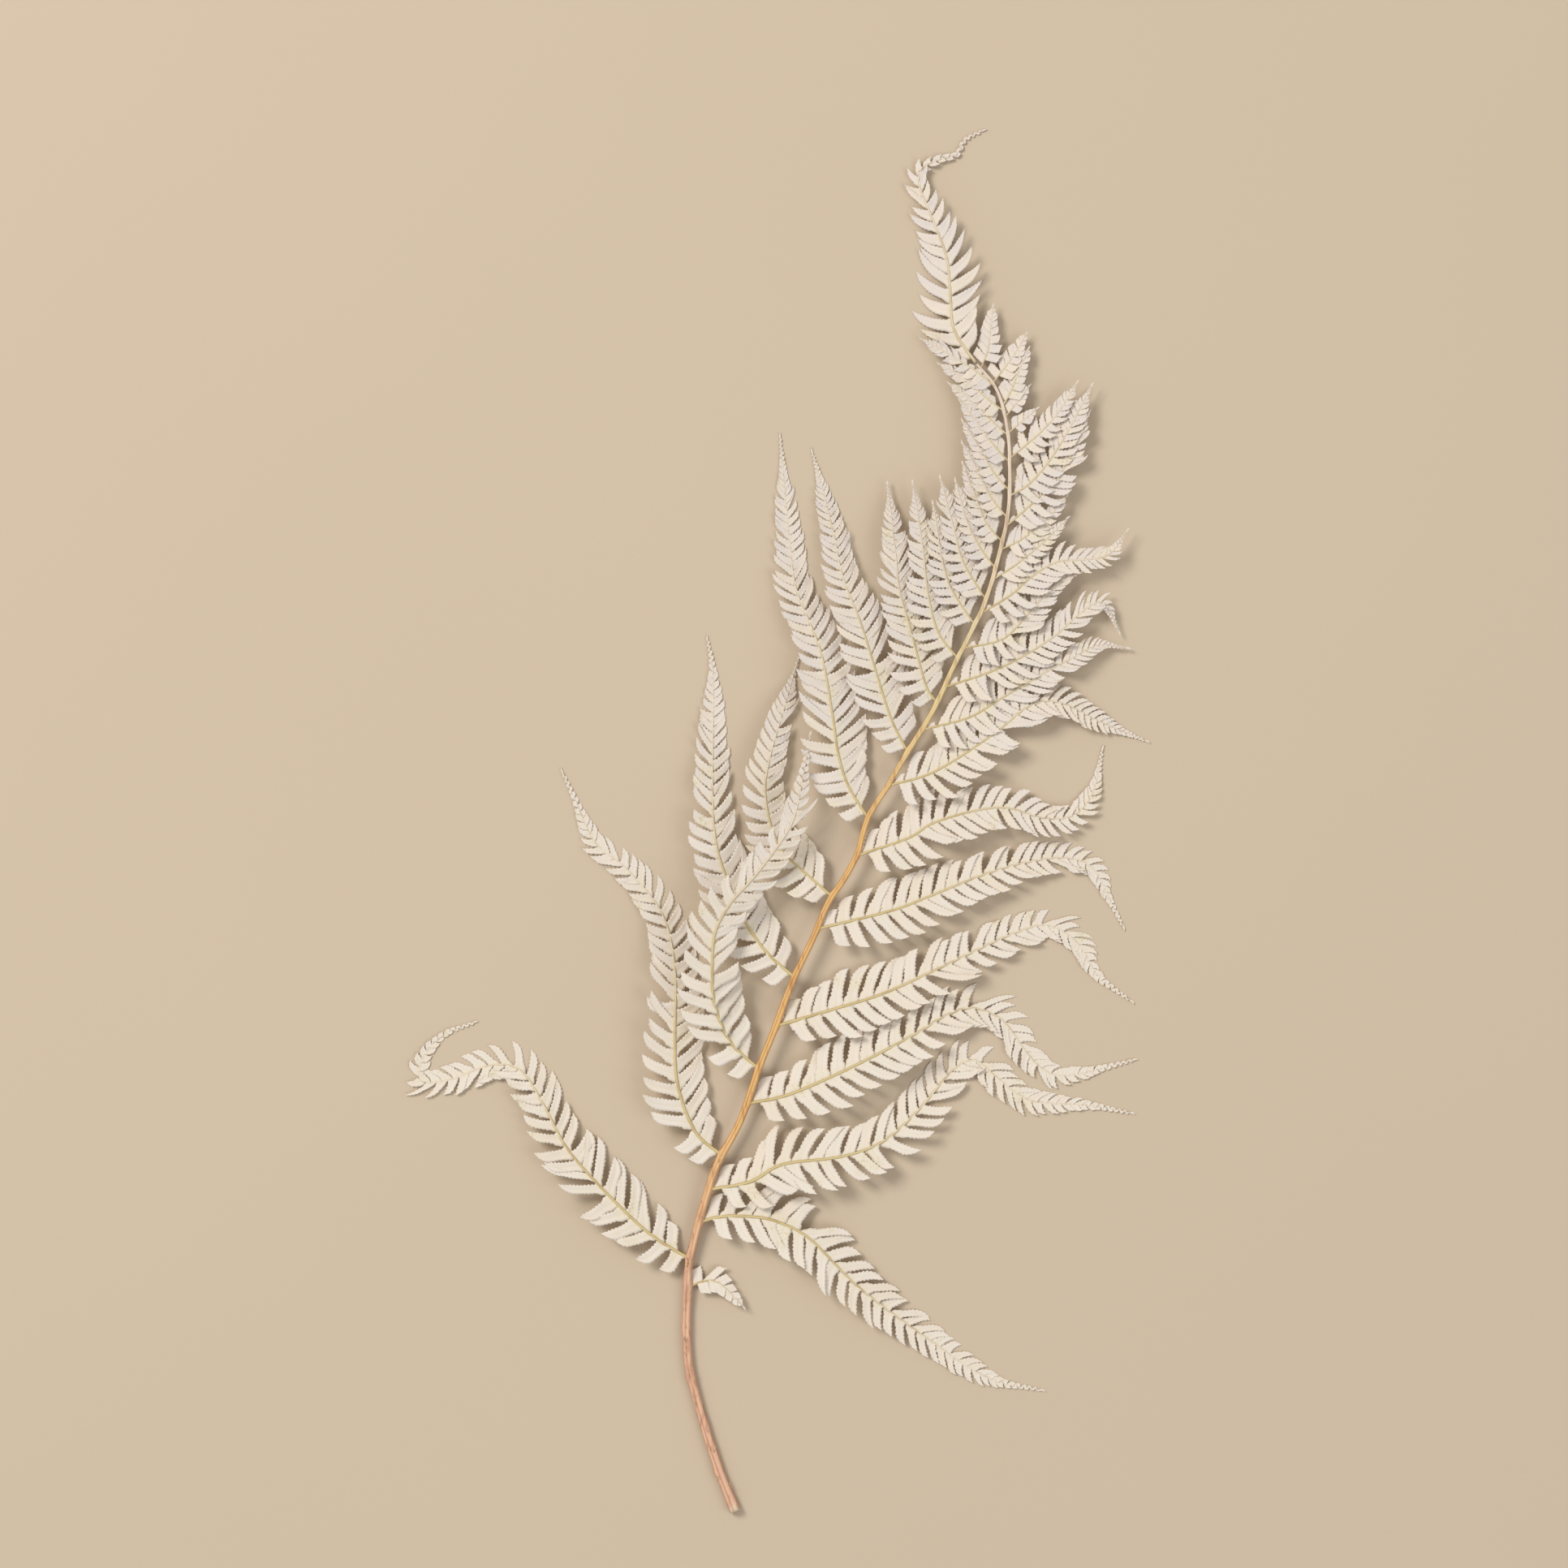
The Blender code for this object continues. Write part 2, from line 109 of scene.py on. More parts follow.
RIGHT_BRANCHES = (
    (89, 4, ((-12, 92), (-6, 91), (3, 82))),
    (115, 6, ((-5, 118), (7, 118), (17, 116), (30, 109), (49, 90), (75, 70), (101, 53), (122, 48))),
    (128, 7, ((6, 132), (19, 139), (42, 142), (59, 148), (74, 161), (87, 176), (96, 180), (105, 173),
        (118, 164), (141, 162), (158, 159))),
    (163, 7, ((22, 167), (47, 178), (72, 191), (84, 198), (95, 201), (107, 196), (116, 184), (124, 176),
        (134, 174), (159, 180))),
    (194, 6, ((40, 201), (59, 207), (79, 216), (96, 224), (112, 231), (125, 234), (137, 227), (145, 214),
        (158, 204))),
    (232, 6, ((62, 240), (78, 246), (98, 254), (115, 259), (132, 261), (143, 257), (149, 246), (155, 234))),
    (262, 6, ((69, 269), (79, 275), (96, 280), (109, 281), (123, 277), (135, 278), (143, 287), (147, 304))),
    (290, 7, ((76, 294), (89, 301), (105, 312), (118, 322), (130, 323), (147, 315), (164, 308))),
    (312, 6, ((93, 317), (105, 324), (120, 333), (133, 340), (145, 346), (156, 345))),
    (328, 6, ((101, 335), (114, 341), (128, 350), (138, 359), (147, 363), (153, 352))),
    (344, 6, ((106, 348), (114, 355), (121, 363), (129, 371), (138, 375))),
    (358, 7, ((110, 366), (118, 373), (128, 379), (139, 380), (149, 382), (156, 391))),
    (372, 7, ((112, 378), (123, 387), (132, 396))),
    (383, 6, ((114, 388), (124, 396), (132, 405))),
    (393, 6, ((118, 402), (128, 412), (134, 422), (141, 438))),
    (405, 6, ((117, 410), (125, 419), (132, 430), (142, 449))),
    (420, 6, ((115, 425), (122, 431), (129, 439), (136, 450))),
    (430, 5, ((113, 434), (120, 440))),
    (437, 5, ((111, 441), (117, 449))),
    (441, 4.5, ((110, 447), (113, 455), (117, 464))),
    (450, 4, ((107, 456), (112, 463), (116, 470))),
    (456, 4, ((101, 464), (102, 473), (103, 481))),
)

# Leaflets are made in groups of neighbouring branches: side, first branch and the one after the last
LEAFLET_GROUPS = {
    "leaflets_left_low": (-1, 0, 3),
    "leaflets_left_middle": (-1, 3, 7),
    "leaflets_left_high": (-1, 7, 19),
    "leaflets_right_low": (1, 0, 4),
    "leaflets_right_middle": (1, 4, 8),
    "leaflets_right_high": (1, 8, 22),
}

# How far leaflets stand out: most on a long branch, less at its root, in a bend's hollow and near its tip
WIDEST_LEAFLETS = 15.8 * MM
BRANCH_LENGTH_FOR_WIDTH = 58 * MM
ROOT_REACH = 0.62
FULL_REACH_FROM = 0.16
ROOM_AT_ROOT = 5.5 * MM
ROOM_IN_BEND = 0.72
SHORTEST_REACH = 1.5 * MM
STALK_CLEARANCE = 2.2 * MM

# Where leaflets sit and how they lean, in degrees to the rib: at a branch's root and tip, the splay of the
# first lower ones, and how groups, single ones and strays differ
FIRST_LEAFLET = 2.2 * MM
SHORTEST_PITCH = 1.5 * MM
LEAFLET_ANGLES = (62, 44)
ROOT_SPLAY = 24
ROOT_SPLAY_LENGTH = 30 * MM
GROUP_LEAN = 7
SINGLE_LEAN = 6
STRAY_LEAN = 20

# A branch up to the first length is one blade with teeth, and with the second one on top it is fully split
SIMPLE_LENGTH = 22 * MM
SPLIT_LENGTH = 30 * MM

# How a blade is held, as on the solid: it tilts down towards the tip of the frond, arches a little across its
# rib and, where it is long, droops from there on
BLADE_ROLL = math.tan(math.radians(-13))
BLADE_ARCH = math.tan(math.radians(3))
USUAL_LIFT = 7 * MM
RISE_LENGTH = 22 * MM
DROOP_START = 55 * MM
DROOP_LENGTH = 62 * MM
RESTING_HEIGHT = 0.3 * MM

# The fine form of one leaflet: columns across its upper and lower face, as shares of its half width, and
# the steps of one tooth: how far along it and how far out
UPPER_COLUMNS = (-1, -0.55, -0.09, 0.09, 0.55, 1)
LOWER_COLUMNS = (1, 0, -1)
TOOTH_STEPS = ((0, 0), (0.5, 0.8), (0.9, 1))

# The stalk swells at each root and at scars of lost scales: height in mm, side and swelling in radii. Its
# tone changes from the cut end, 0, to the leafy tip, 1
KNOB_SWELLING = 0.3
STALK_SCARS = ((14, -1, 0.32), (33, 1, 0.16), (52, -1, 0.25), (71, -1, 0.14))
STALK_TONES = (
    (0.0, "stalk_cut"), (0.008, "stalk_low"), (0.19, "stalk_low"), (0.33, "stalk_middle"),
    (0.58, "stalk_middle"), (0.72, "stalk_high"), (0.9, "leaf_warm"),
)

STALK_SIDES = 24
STALK_RING_STEP = 1.6 * MM
RIB_SIDES = 8
RIB_RING_STEP = 2.4 * MM
SCALES_SEED = 5
LEAFLETS_SEED = 20
TIP_SEED = 40

# The camera looks straight down from above the middle of the picture, which is this wide
PICTURE_MIDDLE = Vector((4.4 * MM, 14.2 * MM))
PICTURE_WIDTH = 628 * MM
SENSOR_WIDTH = 36

# Soft lights: where they stand, how wide they are and their tint
KEY_LIGHT = ((-1.9, 1.5, 2.6), 1.3, (1.0, 0.97, 0.93))
FILL_LIGHT = ((2.0, -1.2, 2.2), 2.0, (0.94, 0.97, 1.0))
SKY_TINT = (1.0, 0.985, 0.96, 1.0)
FLOOR_HALF_WIDTH = 12.0


class Route:
    """A smooth curve in plan through given points, with places measured along it."""

    def __init__(self, points):
        """Sample the curve finely and note the distance along it of every sample."""
        self.samples = sampled_curve(points)
        self.distances = [0]
        for before, after in zip(self.samples, self.samples[1:]):
            self.distances.append(self.distances[-1] + (after - before).length)
        self.length = self.distances[-1]
        self.plan = np.array([tuple(sample) for sample in self.samples])

    def point(self, distance):
        """The point at a distance along the route."""
        distance = min(max(distance, 0), self.length)
        after = min(max(bisect.bisect_left(self.distances, distance), 1), len(self.samples) - 1)
        span = self.distances[after] - self.distances[after - 1]
        share = (distance - self.distances[after - 1]) / span
        return self.samples[after - 1].lerp(self.samples[after], share)

    def heading(self, distance, reach=2 * MM):
        """The direction of the route, evened out over a short reach on both sides."""
        return (self.point(distance + reach) - self.point(distance - reach)).normalized()

    def turn(self, distance, reach=7 * MM):
        """How sharply the route turns, in radians a metre, positive to the left."""
        before = self.heading(distance - reach)
        after = self.heading(distance + reach)
        angle = math.atan2(before.x * after.y - before.y * after.x, before.dot(after))
        return angle / (2 * reach)

    def side_of(self, spot):
        """How far a spot lies beside the route, positive on its left, and by the nearest sample."""
        away = self.plan - (spot.x, spot.y)
        nearest = int(np.argmin((away * away).sum(axis=1)))
        heading = self.heading(self.distances[nearest])
        offset = spot - self.samples[nearest]
        return heading.x * offset.y - heading.y * offset.x

    def place_at_height(self, height):
        """The distance along the route of the first sample that lies so far up the frond."""
        for distance, sample in zip(self.distances, self.samples):
            if sample.y >= height:
                return distance
        return self.length


def sampled_curve(points, samples_a_span=12):
    """Samples of a smooth curve that passes through every point."""
    ends = [2 * points[0] - points[1]] + list(points) + [2 * points[-1] - points[-2]]
    samples = []
    for before, start, end, after in zip(ends, ends[1:], ends[2:], ends[3:]):
        for step in range(samples_a_span):
            samples.append(curve_point(before, start, end, after, step / samples_a_span))
    samples.append(points[-1].copy())
    return samples


def curve_point(before, start, end, after, share):
    """A point between start and end of a curve that also heeds the points on either side."""
    pull = (end - before) * 0.5
    push = (after - start) * 0.5
    square = share * share
    cube = square * share
    return (
        start * (2 * cube - 3 * square + 1)
        + pull * (cube - 2 * square + share)
        + end * (3 * square - 2 * cube)
        + push * (cube - square)
    )


def placed(points_mm):
    """Points in mm from the cut end as points in metres in the finished part."""
    return [CUT_END + Vector(point) * MM for point in points_mm]


def read_off(table_mm, height):
    """The value of a table of heights and values, all in mm, at a height up the frond in metres."""
    heights_mm, values_mm = zip(*table_mm)
    return float(np.interp((height - CUT_END.y) / MM, heights_mm, values_mm)) * MM


def stalk_centre_height(height):
    """How high the stalk's middle line is over the surface."""
    return read_off(STALK_RADII, height) * 0.96 + read_off(STALK_HEIGHTS, height)


def eased(share):
    """A share from 0 to 1 that starts and ends softly."""
    share = min(max(share, 0), 1)
    return share * share * (3 - 2 * share)


def new_object(name, data):
    """A new object in the scene."""
    made = bpy.data.objects.new(name, data)
    bpy.context.scene.collection.objects.link(made)
    return made


class Surface:
    """Points, faces and per-point values of one mesh that is being built."""

    def __init__(self, *value_names):
        """Start empty, with a list for each named value."""
        self.points = []
        self.faces = []
        self.count = 0
        self.values = {name: [] for name in value_names}

    def add(self, points, faces, **values):
        """Add a patch: an array of points, faces by local numbers, and one value or an array a name."""
        self.points.append(points)
        self.faces.extend(tuple(number + self.count for number in face) for face in faces)
        self.count += len(points)
        for name, value in values.items():
            self.values[name].append(np.broadcast_to(np.asarray(value, float), len(points)))

    def make(self, name, material):
        """The finished object, shaded smooth."""
        mesh = bpy.data.meshes.new(name)
        mesh.from_pydata(np.concatenate(self.points).tolist(), [], self.faces)
        for value_name, parts in self.values.items():
            attribute = mesh.attributes.new(value_name, "FLOAT", "POINT")
            attribute.data.foreach_set("value", np.concatenate(parts).astype(np.float32))
        mesh.materials.append(material)
        mesh.shade_smooth()
        return new_object(name, mesh)


class Branch:
    """One side branch, or the leafy tip: where its rib runs and how its blade is held."""

    def __init__(self, route, stalk_route, width, lift, stalk_side):
        """Take the routes, the longest leaflet's reach, the height it is held at and the stalk's side."""
        self.route = route
        self.short = 1 - eased((route.length - SIMPLE_LENGTH) / SPLIT_LENGTH)
        self.joined = 0.8 * self.short
        self.pointed = self.short
        self.thin_from = 0.78 + 0.08 * self.short
        self.sway_start = 900 * route.samples[0].y
        self.stalk_route = stalk_route
        self.width = width
        self.lift = lift
        self.root_height = stalk_centre_height(route.samples[0].y)
        self.stalk_side = stalk_side
        self.fullness = 0
        self.spacing = 1
        self.filled = 0.95

    def rib_height(self, distance):
        """The rib climbs from the stalk to where it is held, and a long one comes down on the surface."""
        stretch = max(1, self.lift / USUAL_LIFT)
        held = self.root_height + (self.lift - self.root_height) * eased(distance / (RISE_LENGTH * stretch))
        return held + (RESTING_HEIGHT - held) * eased((distance - DROOP_START * stretch) / DROOP_LENGTH)

    def slope(self, side):
        """How the blade rises away from the rib on a side."""
        return BLADE_ROLL * self.stalk_side * side - BLADE_ARCH

    def reach(self, distance, side):
        """How far the leaflets stand out at a place along the rib."""
        share = distance / self.route.length
        opened = eased(share / FULL_REACH_FROM)
        beyond = max(share - FULL_REACH_FROM, 0) / (1 - FULL_REACH_FROM)
        envelope = (ROOT_REACH + (1 - ROOT_REACH) * opened) * (1 - 0.9 * beyond) ** 0.85
        envelope *= 1 + self.fullness * opened * (1 - eased((share - 0.3) / 0.3))
        room = ROOM_AT_ROOT + 1.1 * distance
        inward = self.route.turn(distance) * side
        if inward > 0:
            room = min(room, ROOM_IN_BEND / inward)
        thinning = (0.8 - 0.18 * self.short) * eased((share - self.thin_from) / (1 - self.thin_from))
        return min(self.width * envelope, room) * (1 - thinning)

    def sway(self, distance):
        """How groups of neighbouring leaflets lean together as they dried, from -1 to 1."""
        along = distance / MM
        slow = math.sin(0.21 * along + self.sway_start)
        return 0.6 * slow + 0.4 * math.sin(0.47 * along + 2 * self.sway_start)

    def clear_of_stalk(self, distance, reach, side, angle):
        """Shorten a leaflet's reach until its tip stops beside the stalk."""
        heading = self.route.heading(distance)
        left = Vector((-heading.y, heading.x))
        start = self.route.point(distance)
        while self.stalk_route and reach > SHORTEST_REACH:
            tip = start + left * (side * reach) + heading * (reach / math.tan(angle))
            if self.stalk_route.side_of(tip) * self.stalk_side < -STALK_CLEARANCE:
                break
            reach *= 0.9
        return reach

    def pitch(self, distance, widest_pitch):
        """The distance to the next leaflet, shorter towards the tip."""
        share = distance / self.route.length
        usual = self.spacing * widest_pitch * (0.45 + 0.55 * min(1, self.width / WIDEST_LEAFLETS))
        return max(usual * (1 - 0.7 * share ** 2.5), SHORTEST_PITCH)


def branch_from_row(stalk_route, row, stalk_side):
    """The side branch that a row of the tables describes."""
    root_mm, lift_mm, points_mm = row
    root = stalk_route.point(stalk_route.place_at_height(CUT_END.y + root_mm * MM))
    route = Route([root] + placed(points_mm))
    width = WIDEST_LEAFLETS * (1 - math.exp(-(route.length + 5 * MM) / BRANCH_LENGTH_FOR_WIDTH))
    branch = Branch(route, stalk_route, width, lift_mm * MM, stalk_side)
    branch.spacing = 1 - 0.28 * eased((root_mm - 170) / 150)
    branch.filled = 0.85 + 0.11 * eased((root_mm - 100) / 160)
    return branch


def branches_of(stalk_route, side, first=0, last=None):
    """The branches of the left side, -1, or the right side, 1, from the first up to the last."""
    rows = LEFT_BRANCHES if side < 0 else RIGHT_BRANCHES
    return [branch_from_row(stalk_route, row, side) for row in rows[first:last]]


def leafy_tip():
    """The leafy tip of the frond, whose leaflets are pointed and grow small in its curl."""
    tip = Branch(Route(placed(TIP_ROUTE)), None, TIP_WIDTH, TIP_LIFT, 1)
    tip.fullness = TIP_FULLNESS
    tip.pointed = 0.65
    tip.thin_from = 0.5
    return tip


def ring_faces(rings, sides, turned):
    """The faces between rings of points and over both ends, turned over where asked."""
    faces = []
    for low in range(0, (rings - 1) * sides, sides):
        for side in range(sides):
            beside = (side + 1) % sides
            faces.append((low + side, low + beside, low + sides + beside, low + sides + side))
    faces.append(tuple(reversed(range(sides))))
    faces.append(tuple(range((rings - 1) * sides, rings * sides)))
    return [face[::-1] for face in faces] if turned else faces


def ring_angles(sides):
    """The angle of each side of a tube, counted from underneath."""
    return 2 * np.pi * (np.arange(sides) + 0.5) / sides


def ring_tube(surface, route, distances, heights, radii, **values):
    """Add a closed tube along a route, with a height for each ring and a radius for each ring and side."""
    rings, sides = radii.shape
    angles = ring_angles(sides)
    plan = np.array([tuple(route.point(distance)) for distance in distances])
    headings = np.array([tuple(route.heading(distance)) for distance in distances])
    sideways = radii * np.sin(angles)
    points = np.empty((rings, sides, 3))
    points[:, :, 0] = plan[:, 0, None] + headings[:, 1, None] * sideways
    points[:, :, 1] = plan[:, 1, None] - headings[:, 0, None] * sideways
    points[:, :, 2] = np.maximum(heights[:, None] - radii * np.cos(angles), 0)
    values["around"] = (1 - np.cos(angles)) / 2
    flat_values = {name: np.broadcast_to(value, radii.shape).ravel() for name, value in values.items()}
    surface.add(points.reshape(-1, 3), ring_faces(rings, sides, True), **flat_values)


class Leaflet:
    """One leaflet: a thin toothed blade rooted broadly on the rib and bent towards the branch's tip."""

    def __init__(self, branch, middle, pitch, side, chance, settings):
        """Take its place on the branch and draw how it grew and dried."""
        share = middle / branch.route.length
        self.branch = branch
        self.middle = middle
        self.side = side
        self.pitch = pitch
        self.settings = settings
        self.angle = math.radians(LEAFLET_ANGLES[0] + (LEAFLET_ANGLES[1] - LEAFLET_ANGLES[0]) * share)
        lean = GROUP_LEAN * side * branch.sway(middle + 9 * side * MM)
        self.angle += math.radians(lean + chance.uniform(-SINGLE_LEAN, SINGLE_LEAN))
        self.angle += math.radians(STRAY_LEAN) * chance.uniform(-1, 1) ** 7
        if side != branch.stalk_side:
            self.angle += math.radians(ROOT_SPLAY) * (1 - eased(middle / ROOT_SPLAY_LENGTH))
        reach = branch.reach(middle, side) * chance.uniform(0.9, 1.05)
        reach = branch.clear_of_stalk(middle, reach, side, self.angle)
        self.length = reach / math.sin(self.angle)
        filled = branch.filled + 0.05 * branch.sway(1.7 * middle + 30 * side * MM)
        self.width = min(filled * pitch * math.sin(self.angle), 0.62 * self.length)
        self.round_from = (0.6 - 0.25 * share) * (1 - 0.8 * branch.pointed)
        self.roundness = chance.uniform(2.0, 3.4) - 0.9 * branch.pointed
        self.tooth_depth = min(settings.tooth_depth * (1 - 0.55 * branch.pointed), 0.13 * self.width)
        self.turning = 5
        self.joined = max(branch.joined, 0.5 * eased((share - 0.55) / 0.45), chance.uniform(0.02, 0.24))
        self.bend = math.radians(chance.uniform(6, 22))
        self.cup = chance.uniform(-0.08, 0.14)
        self.droop = chance.uniform(-0.05, 0.08) * self.length
        self.roll = math.tan(math.radians(2.5 + 4 * branch.sway(2 * middle + side) + chance.uniform(-5, 5)))
        self.wave = chance.uniform(0.05, 0.2) * MM
        self.wave_start = chance.uniform(0, 2 * math.pi)
        self.shade = chance.random()
        self.along, self.teeth = self.tooth_rows()

    def end_the_branch(self):
        """Make this the small leaflet that ends the branch, in line with its rib."""
        self.angle = math.radians(4)
        self.length = 1.9 * self.pitch
        self.width = 0.6 * self.pitch
        self.joined = 0
        self.turning = 1000
        self.along, self.teeth = self.tooth_rows()

    def tooth_rows(self):
        """Shares along the leaflet, and how far a tooth stands out at each, from 0 to 1."""
        count = max(3, round(self.length / self.settings.tooth_pitch))
        along = [0]
        teeth = [0.5]
        for tooth in range(count):
            for step, stands_out in TOOTH_STEPS:
                along.append((tooth + 0.12 + 0.88 * step) / count)
                teeth.append(stands_out * (0.72 + 0.5 * math.sin(7 * tooth + 40 * self.shade) ** 2))
        return np.array(along + [1]), np.array(teeth + [0.5])

    def upright(self):
        """How far offsets have turned, from along the rib at the root, 0, to square to the leaflet, 1."""
        return np.minimum(self.along * self.turning, 1)

    def margins(self):
        """The nearly straight margin towards the tip and the one that curves in to meet it, over the axis."""
        straight = self.width * (0.47 - 0.04 * np.sin(np.pi * self.along))
        rounding = np.maximum(self.along - self.round_from, 0) / (1 - self.round_from)
        curved = -0.45 * self.width + (0.45 * self.width + straight[-1]) * rounding ** self.roundness
        beyond = np.maximum(self.along - self.joined, 0) * self.length
        rooted = np.exp(-beyond / (0.5 * MM))
        broad = 0.53 * self.pitch * (1 - self.upright() * (1 - math.sin(self.angle)))
        straight = straight + (broad - straight) * rooted
        curved = curved - (broad + curved) * rooted
        return np.maximum(straight, curved + 0.03 * self.width), curved

    def tooth_offsets(self, columns):
        """How far the teeth move the outermost columns outward; the others stay where they are."""
        depth = self.tooth_depth * np.minimum(1, 5 * self.along) * np.minimum(1, 7 * (1 - self.along))
        return ((self.teeth - 0.6) * depth)[:, None] * np.sign(columns) * (np.abs(columns) == 1)

    def face(self, columns, lift, groove):
        """The points of one face, in columns between -1 at the curved margin and 1 at the straight one."""
        columns = np.array(columns)
        along = self.along[:, None]
        straight, curved = self.margins()
        offset = (curved[:, None] * (1 - columns) + straight[:, None] * (1 + columns)) / 2
        offset = offset + self.tooth_offsets(columns)
        turned = self.angle + (0.4 - self.along) * self.bend
        step = np.diff(self.along, prepend=0) * self.length
        upright = self.upright()[:, None]
        forward = np.cumsum(step * np.cos(turned))[:, None]
        outward = np.cumsum(step * np.sin(turned))[:, None]
        forward = forward + offset * (1 - upright + upright * np.sin(turned)[:, None])
        outward = outward - offset * upright * np.cos(turned)[:, None]
        height = self.branch.rib_height(self.middle) + self.branch.slope(self.side) * outward
        height = height + self.relief(columns, along, offset)
        vein = groove * (np.abs(columns) < 0.2) * np.minimum(1, (1.02 - along) * 3)
        height = softly_over(height, (0.16 + 0.34 * self.shade) * MM) + lift - vein
        return self.in_place(forward, outward, height)

    def relief(self, columns, along, offset):
        """How the dried leaflet is cupped, rolled, waved and bent down at its tip."""
        cupped = self.cup * self.width / 2 * columns ** 2
        waves = self.wave * np.sin(9 * along + self.wave_start + 1.3 * columns) * np.abs(columns)
        fade = np.minimum(along * 4, 1)
        return fade * (cupped + self.roll * offset + waves) - self.droop * along ** 2

    def in_place(self, forward, outward, height):
        """Points from distances along the rib, away from it and up."""
        heading = self.branch.route.heading(self.middle)
        left = Vector((-heading.y, heading.x)) * self.side
        start = self.branch.route.point(self.middle)
        plan_x = start.x + heading.x * forward + left.x * outward
        plan_y = start.y + heading.y * forward + left.y * outward
        return np.stack([plan_x, plan_y, height], axis=2)

    def add_to(self, surface):
        """Add the closed leaflet, ring by ring over its upper and back under its lower face."""
        half_thickness = self.settings.leaf_thickness / 2
        upper = self.face(UPPER_COLUMNS, half_thickness, self.settings.vein_depth)
        lower = self.face(LOWER_COLUMNS, -half_thickness, 0)
        points = np.concatenate([upper, lower], axis=1)
        rings, sides = points.shape[:2]
        along = np.repeat(self.along, sides)
        across = np.tile(UPPER_COLUMNS + LOWER_COLUMNS, rings)
        surface.add(
            points.reshape(-1, 3), ring_faces(rings, sides, self.side < 0),
            along=along, across=across, reach=along * self.length / MM, chance=self.shade,
        )


def softly_over(heights, least):
    """Heights that come down softly on a least height and stay just over it."""
    return (heights + least + np.sqrt((heights - least) ** 2 + (0.3 * MM) ** 2)) / 2


def add_leaflets(surface, branch, chance, settings, widest_pitch):
    """Add every leaflet of a branch, set in turn on both sides, and the one that ends it."""
    for side in (1, -1):
        distance = FIRST_LEAFLET
        if side < 0:
            distance += branch.pitch(0, widest_pitch) / 2
        while distance < branch.route.length - 0.6 * branch.pitch(distance, widest_pitch):
            pitch = branch.pitch(distance, widest_pitch)
            Leaflet(branch, distance + pitch / 2, pitch, side, chance, settings).add_to(surface)
            distance += pitch
    last = Leaflet(branch, branch.route.length - 0.5 * MM, SHORTEST_PITCH, 1, chance, settings)
    last.end_the_branch()
    last.add_to(surface)


class Value:
    """A shader socket that can be used in Python sums, each of which adds a Math node."""

    def __init__(self, shop, socket):
        """Wrap an output socket of a node in a shop's tree."""
        self.shop = shop
        self.socket = socket

    def sum_with(self, operation, first, second=0.0):
        """A Math node on one or two values."""
        return self.shop.node("ShaderNodeMath", {"operation": operation}, {0: first, 1: second})

    def __add__(self, other):
        return self.sum_with("ADD", self, other)

    def __radd__(self, other):
        return self.sum_with("ADD", other, self)

    def __sub__(self, other):
        return self.sum_with("SUBTRACT", self, other)

    def __rsub__(self, other):
        return self.sum_with("SUBTRACT", other, self)

    def __mul__(self, other):
        return self.sum_with("MULTIPLY", self, other)

    def __rmul__(self, other):
        return self.sum_with("MULTIPLY", other, self)

    def __abs__(self):
        return self.sum_with("ABSOLUTE", self)

    def wave(self):
        """A sine of the value."""
        return self.sum_with("SINE", self)

    def ramp(self, low, high):
        """0 below low, 1 above high and soft between them, also the other way round."""
        settings = {"interpolation_type": "SMOOTHSTEP"}
        return self.shop.node("ShaderNodeMapRange", settings, {0: self, 1: low, 2: high, 3: 0.0, 4: 1.0})


